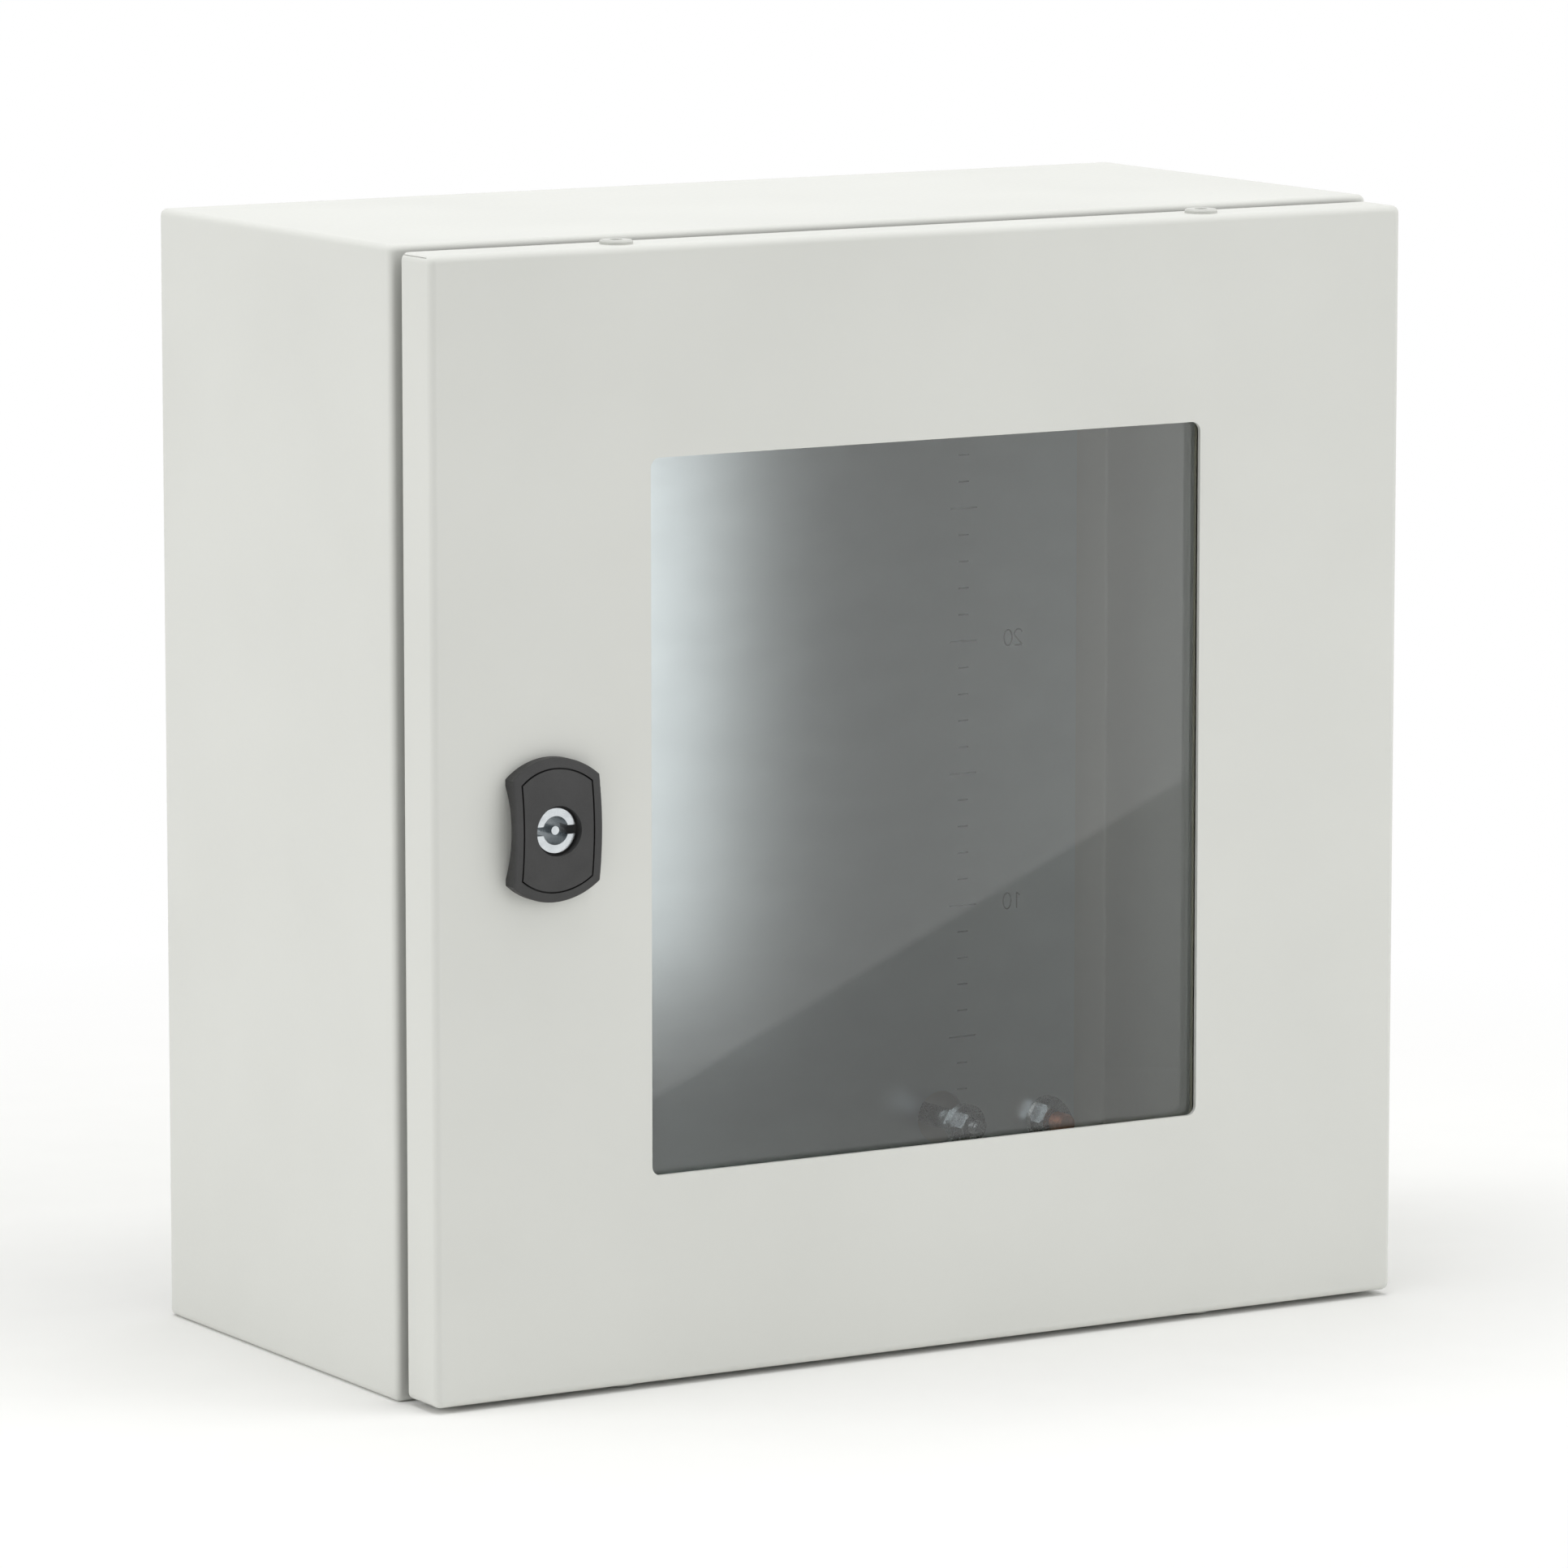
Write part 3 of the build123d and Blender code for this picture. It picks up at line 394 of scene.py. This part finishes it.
# ten studs of the clamping frame, in millimetres: three at each side, two above and two below
glazingStuds = {"sideX": 126.75, "sideStep": 95.0, "endX": 70.0, "endZ": 139.25, "length": 8.0}
sideSteps = [(sx, step) for sx in (-1, 1) for step in (-1, 0, 1)]
glazingPlaces = [(sx * glazingStuds["sideX"], step * glazingStuds["sideStep"]) for sx, step in sideSteps]
glazingPlaces += [(sx * glazingStuds["endX"], sz * glazingStuds["endZ"]) for sx, sz in signs]
addPiece("glazing_studs_threaded", *doorStuds(glazingStuds, m4Thread, glazingPlaces), copperedSteel,
         "door", "coppered_steel", ["glazing_studs"])

# hinge studs in millimetres: a pair, one above the other, at each hinge
hingeStuds = {"x": 185.75, "z": 140.0, "pitch": 16.0, "length": 5.6}
hingeStep = hingeStuds["pitch"] / 2
hingePlaces = [(hingeStuds["x"], sz * hingeStuds["z"] + step * hingeStep) for step, sz in signs]
addPiece("hinge_studs_threaded", *doorStuds(hingeStuds, m4Thread, hingePlaces), copperedSteel,
         "door", "coppered_steel", ["hinge_door_studs"])

# the door's own earth stud, in millimetres
doorEarthStud = {"x": 100.0, "z": -158.0, "length": 15.0}
doorEarthPlaces = [(doorEarthStud["x"], doorEarthStud["z"])]
addPiece("door_earth_stud_threaded", *doorStuds(doorEarthStud, m6Thread, doorEarthPlaces), copperedSteel,
         "door", "coppered_steel", ["door_earth_stud"])

# six studs of the gland plate, in millimetres: three in front of the opening's middle, three behind it
glandStuds = {"x": 159.0, "middle": -90.0, "cross": 59.0, "seat": -198.8, "length": 11.0}
glandPlaces = [
    (sx * glandStuds["x"], sy * glandStuds["cross"] + glandStuds["middle"], glandStuds["seat"])
    for sx in (-1, 0, 1) for sy in (-1, 1)
]
glandParts = [threadedStud(m5Thread, glandStuds["length"], place, upDir) for place in glandPlaces]
addPiece("gland_studs_threaded", *joined(glandParts), copperedSteel,
         "cabinet_body", "coppered_steel", ["gland_plate_studs"])
print("threaded studs made")


# thin printed bars: eight corners from the signs of each axis times half the size, about each middle
def bars(middles, halves):
    corner = np.array([[sx, sy, sz] for sx in (-1, 1) for sy in (-1, 1) for sz in (-1, 1)], float)
    points = (middles[:, None] + corner[None] * halves[:, None]).reshape(-1, 3)
    box = np.array([[0, 1, 3, 2], [4, 6, 7, 5], [0, 4, 5, 1], [2, 3, 7, 6], [0, 2, 6, 4], [1, 5, 7, 3]])
    faces = (np.arange(len(middles))[:, None, None] * len(corner) + box[None]).reshape(-1, 4)
    return points, faces.tolist()


# printed stroke: a flat rectangle carried along a path in X and Z, offset to both sides of the path
# by half the line along its normal, and closed at both ends
def stroke(path, line, back, front):
    along = np.gradient(path, axis=0)
    along /= np.linalg.norm(along, axis=1)[:, None]
    across = np.stack([-along[:, 1], along[:, 0]], -1) * line / 2
    rails = [(path + across, front), (path - across, front), (path - across, back), (path + across, back)]
    sides = len(rails)
    points = np.stack([np.stack([p[:, 0], np.full(len(p), y), p[:, 1]], -1) for p, y in rails], 1)
    points = points.reshape(-1, 3)
    i, k = np.meshgrid(np.arange(len(path) - 1) * sides, np.arange(sides), indexing="ij")
    n = (k + 1) % sides
    quads = np.stack([i + k, i + n, i + sides + n, i + sides + k], -1).reshape(-1, 4)
    last = sides * (len(path) - 1)
    caps = [[3, 2, 1, 0], [last, last + 1, last + 2, last + 3]]
    return points, quads.tolist() + caps


# turns a closed mesh the right way out: its signed volume, the sum over its fans, must be positive
def facingOut(points, faces):
    fans = np.array([[f[0], f[k], f[k + 1]] for f in faces for k in range(1, len(f) - 1)])
    a, b, c = (points[fans[:, k]] for k in range(3))
    volume = np.einsum("ij,ij->i", a, np.cross(b, c)).sum()
    return points, faces if volume > 0 else [f[::-1] for f in faces]


# an arc of a circle or ellipse as points, its angles in degrees
def arcPath(middle, radii, start, end, count=20):
    turn = np.radians(np.linspace(start, end, count))
    return np.array(middle) + np.stack([np.cos(turn) * radii[0], np.sin(turn) * radii[1]], -1)


# straight runs between points, filled in so that the stroke keeps its width near the corners
def linePath(corners, count=8):
    corners = np.array(corners, float)
    share = np.linspace(0, len(corners) - 1, count * (len(corners) - 1) + 1)
    return np.stack([np.interp(share, np.arange(len(corners)), corners[:, k]) for k in (0, 1)], -1)


# figures as paths in a box one unit high, about their middle
figures = {
    "0": arcPath((0, 0), (0.29, 0.5), 90, 449, 36),
    "1": linePath([(-0.16, 0.3), (0.06, 0.5), (0.06, -0.5)]),
    "2": np.concatenate([arcPath((0, 0.22), (0.28, 0.28), 165, -35),
                         linePath([(-0.29, -0.5), (0.3, -0.5)])]),
    "3": np.concatenate([arcPath((0, 0.25), (0.25, 0.25), 150, -80),
                         arcPath((0, -0.23), (0.29, 0.27), 80, -150)]),
}

# centimetre scale printed on the mounting plate, in millimetres; the hole is the earth stud's
plateScale = {
    "front": 17.0, "ink": 0.08, "x": 125.0, "start": -175.0, "step": 10.0, "count": 34, "major": 5,
    "minorLength": 4.5, "majorLength": 11.8, "line": 0.5, "figureX": 147.0, "figureHeight": 6.0,
    "figurePitch": 4.6, "figureEvery": 10, "mirrored": -1, "hole": (earthStud["x"], earthStud["z"], 10.4),
}


# marks from the plate's lower edge up, each fifth one longer; one that would cross the hole is left out
def scaleMarks(scale):
    number = np.arange(1, scale["count"] + 1)
    height = scale["start"] + number * scale["step"]
    length = np.where(number % scale["major"] == 0, scale["majorLength"], scale["minorLength"])
    holeX, holeZ, holeRadius = scale["hole"]
    nearest = np.clip(holeX, scale["x"] - length / 2, scale["x"] + length / 2)
    keep = np.hypot(nearest - holeX, height - holeZ) > holeRadius
    count = keep.sum()
    middle = -scale["front"] - scale["ink"] / 2
    middles = np.stack([np.full(count, scale["x"]), np.full(count, middle), height[keep]], -1)
    halves = np.stack([length[keep], np.full(count, scale["ink"]), np.full(count, scale["line"])], -1) / 2
    return bars(middles * mm, halves * mm)


# the figures beside every tenth mark, one path after another
def scaleFigures(scale):
    parts = []
    back = -scale["front"] * mm
    front = -(scale["front"] + scale["ink"]) * mm
    for number in range(scale["figureEvery"], scale["count"] + 1, scale["figureEvery"]):
        height = scale["start"] + number * scale["step"]
        word = str(number)
        for place, figure in enumerate(word):
            shift = (place - (len(word) - 1) / 2) * scale["figurePitch"]
            path = figures[figure] * scale["figureHeight"] + np.array([shift, 0])
            path = path * np.array([scale["mirrored"], 1]) + np.array([scale["figureX"], height])
            parts.append(facingOut(*stroke(path * mm, scale["line"] * mm, back, front)))
    return joined(parts)


marks = facingOut(*scaleMarks(plateScale))
addPiece("plate_scale", *joined([marks, scaleFigures(plateScale)]), scaleInk,
         "cabinet_body", "galvanised", smooth=False)
print("plate scale printed")


# one for camera, glossy and transmission rays, which see the white background; zero for the others
def seeingRays(tree):
    path = addNode(tree, "LightPath")
    first = addNode(tree, "Math", {"operation": "MAXIMUM"},
                    {0: path.outputs["Is Camera Ray"], 1: path.outputs["Is Glossy Ray"]})
    return addNode(tree, "Math", {"operation": "MAXIMUM"},
                   {0: first.outputs[0], 1: path.outputs["Is Transmission Ray"]}).outputs[0]


# floor in metres: a wide square grid at the object's foot, white beyond the shadow
floorPlan = {
    "half": 30.0, "cells": 4, "level": -0.2, "dark": "#F4F4F2", "light": "#F7F7F5", "grainMm": 40,
    "shadowTo": 0.35, "whiteFrom": 0.75,
}


# matt painted floor that takes the object's shadow: off-white with a faint grain; its grid is two
# even lines crossed, and far from the object it is plain white to the rays that see it
def studioFloor(plan):
    posts = plan["cells"] + 1
    line = np.linspace(-plan["half"], plan["half"], posts)
    x, y = np.meshgrid(line, line, indexing="ij")
    points = np.stack([x, y, np.full_like(x, plan["level"])], -1).reshape(-1, 3)
    i, j = np.meshgrid(np.arange(plan["cells"]), np.arange(plan["cells"]), indexing="ij")
    corner = i * posts + j
    faces = np.stack([corner, corner + posts, corner + posts + 1, corner + 1], -1).reshape(-1, 4)
    matt = {"Roughness": 0.9, "Specular IOR Level": 0.1}
    material, tree, shader, place = startMaterial("matt_white_floor", matt)
    grain = waves(tree, place, plan["grainMm"])
    tone = blend(tree, grain, linear(plan["dark"]), linear(plan["light"]))
    tree.links.new(tone, shader.inputs["Base Color"])
    distance = addNode(tree, "VectorMath", {"operation": "LENGTH"}, {0: place}).outputs["Value"]
    far = addNode(tree, "MapRange", {1: plan["shadowTo"], 2: plan["whiteFrom"]}, {0: distance})
    share = addNode(tree, "Math", {"operation": "MULTIPLY"}, {0: seeingRays(tree), 1: far.outputs[0]})
    white = addNode(tree, "Emission", {"Color": (1, 1, 1, 1), "Strength": 1.0})
    both = addNode(tree, "MixShader",
                   links={0: share.outputs[0], 1: shader.outputs[0], 2: white.outputs[0]})
    tree.links.new(both.outputs[0], tree.nodes["Material Output"].inputs["Surface"])
    meshObject("studio_floor", points, faces.tolist(), material, False)


studioFloor(floorPlan)
print("studio floor laid")

# soft studio light in metres and watts: a white dome, an overhead box, one box on each side, and a low
# panel in front whose mirror image is the slanted light zone on the pane
studioLight = {
    "dome": 0.35, "seen": 1.0,
    "overhead": {"place": (-0.1, -0.1, 2.6), "size": (2.0, 2.0), "watts": 43.5, "aim": (0, -0.1, 0),
                 "mirrored": False},
    "left": {"place": (-3.2, 0.7, 1.0), "size": (2.2, 2.2), "watts": 43.0, "aim": (0, -0.1, 0),
             "mirrored": False},
    "right": {"place": (2.8, -3.5, 2.6), "size": (6.4, 6.4), "watts": 137.0, "aim": (0, -0.1, 0),
              "mirrored": False},
    "panel": {"place": (0.524, -1.002, -0.065), "size": (1.02, 0.27), "watts": 0.36,
              "aim": (1.206, -0.271, -0.065), "mirrored": True},
}


# an even white dome; camera, glossy and transmission rays see it as plain white
def whiteDome(plan):
    world = bpy.data.worlds.new("studio_dome")
    bpy.context.scene.world = world
    world.use_nodes = True
    tree = world.node_tree
    tree.nodes.clear()
    strength = addNode(tree, "MapRange", {3: plan["dome"], 4: plan["seen"]}, {0: seeingRays(tree)})
    sky = addNode(tree, "Background", {"Color": (1, 1, 1, 1)}, {"Strength": strength.outputs[0]})
    addNode(tree, "OutputWorld", links={"Surface": sky.outputs[0]})


# a softbox aimed at a point of the object; where it isn't mirrored, mirrors show the white dome
def softBox(name, plan):
    lamp = bpy.data.lights.new(name, "AREA")
    lamp.shape = "RECTANGLE"
    lamp.size, lamp.size_y = plan["size"]
    lamp.energy = plan["watts"]
    box = bpy.data.objects.new(name, lamp)
    bpy.context.scene.collection.objects.link(box)
    place = np.array(plan["place"])
    away = place - np.array(plan["aim"])
    box.location = place
    tilt = math.acos(away[2] / np.linalg.norm(away))
    heading = math.atan2(away[1], away[0]) + math.pi / 2
    box.rotation_euler = (tilt, 0, heading)
    box.visible_camera = False
    box.visible_glossy = plan["mirrored"]


whiteDome(studioLight)
softBox("overhead_box", studioLight["overhead"])
softBox("left_box", studioLight["left"])
softBox("right_box", studioLight["right"])
softBox("front_panel", studioLight["panel"])
print("studio light set")

# camera at the photograph's angle: metres and degrees, lens and sensor in millimetres
cameraPlan = {
    "place": (-1.6488, -2.8605, 0.4749), "yaw": 30.825, "pitch": 8.556,
    "lens": 207.6, "sensor": 36.0, "clipEnd": 200,
}
lens = bpy.data.cameras.new("photo_camera")
lens.lens = cameraPlan["lens"]
lens.sensor_width = cameraPlan["sensor"]
lens.clip_end = cameraPlan["clipEnd"]
camera = bpy.data.objects.new("photo_camera", lens)
camera.location = cameraPlan["place"]
camera.rotation_euler = (math.radians(90 - cameraPlan["pitch"]), 0, -math.radians(cameraPlan["yaw"]))
bpy.context.scene.collection.objects.link(camera)
bpy.context.scene.camera = camera
bpy.context.scene.view_settings.view_transform = "Standard"
print("camera placed")
